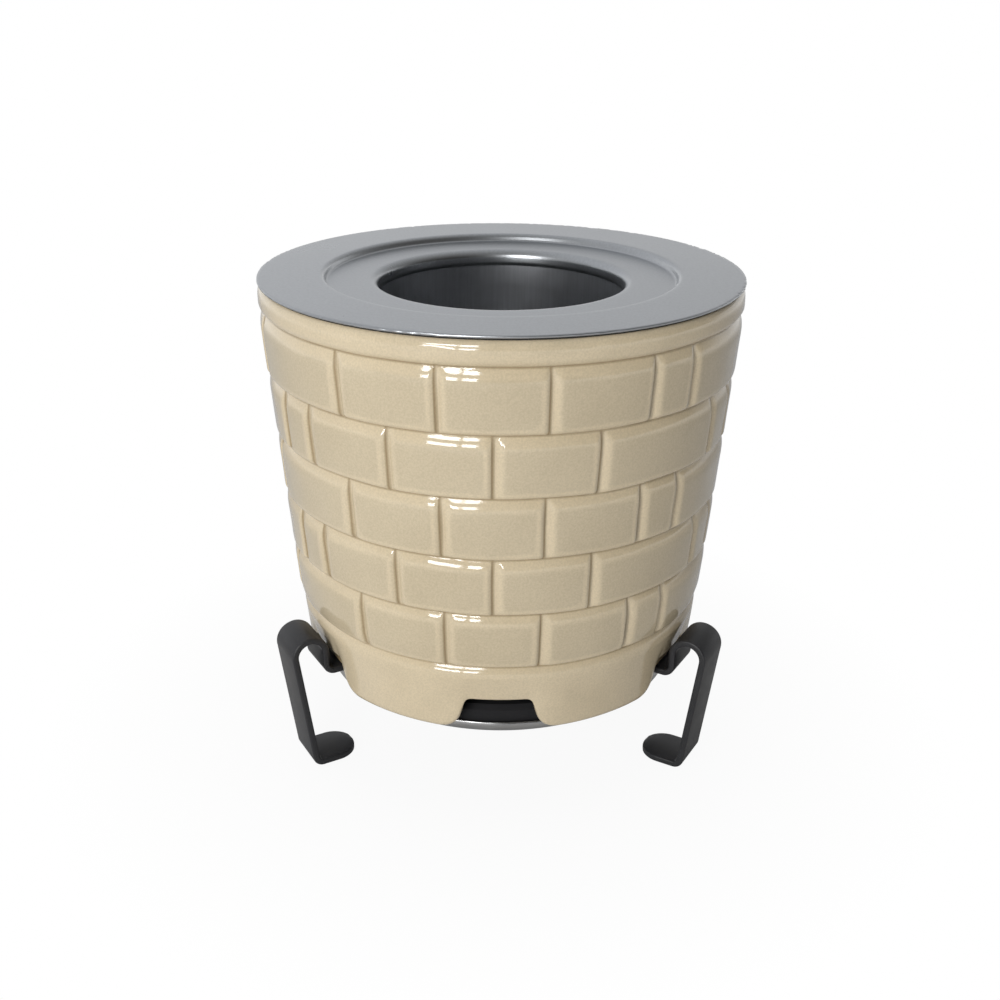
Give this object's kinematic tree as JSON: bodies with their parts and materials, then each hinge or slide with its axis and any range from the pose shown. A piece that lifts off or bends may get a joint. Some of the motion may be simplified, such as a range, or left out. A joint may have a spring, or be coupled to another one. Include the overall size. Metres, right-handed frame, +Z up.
{
  "type": "tabletop fire pit",
  "caption": "Tabletop fire pit: glazed ceramic shell with brick relief and air notches, on a bent-bar stand, with a stepped steel top ring, lift-out fire cup, grate and ash pan.",
  "frame": {"origin": "centre of the outline at ground level, under the three feet; the pit axis is 2.5 mm to the front of it", "axes": "+Z up, -Y the front between the two front legs, +X the right-hand leg's side"},
  "size_m": [0.21, 0.215, 0.2175],
  "materials": {
    "glaze": "glossy warm beige glaze, thinner and lighter on brick edges",
    "gasket_fibre": "dark graphite fibre, matte",
    "black_coat": "black powder coat, satin",
    "pan_steel": "bright stainless sheet with a raw edge",
    "screw_steel": "plain stainless fasteners",
    "ring_steel": "satin stainless steel, fine grain",
    "cup_steel": "dull grey drawn steel",
    "grate_steel": "plain steel plate"
  },
  "bodies": {
    "stand": {"leg_left": "black_coat", "leg_right": "black_coat", "leg_rear": "black_coat", "stand_plate": "black_coat", "ash_pan": "pan_steel", "leg_screws": "screw_steel", "leg_washers": "screw_steel", "leg_nuts": "screw_steel", "pan_screws": "screw_steel", "pan_spacers": "screw_steel", "pan_washers": "screw_steel", "pan_nuts": "screw_steel"},
    "shell": {"ceramic_shell": "glaze", "rim_gasket": "gasket_fibre", "shell_pads": "gasket_fibre"},
    "burner": {"top_ring": "ring_steel", "cup_wall": "cup_steel", "cup_floor": "cup_steel", "locating_clips": "ring_steel"},
    "grate": {"fuel_grate": "grate_steel", "grate_feet": "grate_steel"}
  },
  "joints": [
    {"name": "shell_lift", "type": "slide", "parent": "stand", "child": "shell", "axis": [0, 0, 1], "range_m": [0, 0.06]},
    {"name": "burner_lift", "type": "slide", "parent": "shell", "child": "burner", "axis": [0, 0, 1], "range_m": [0, 0.17]},
    {"name": "grate_lift", "type": "slide", "parent": "burner", "child": "grate", "axis": [0, 0, 1], "range_m": [0, 0.16]}
  ]
}
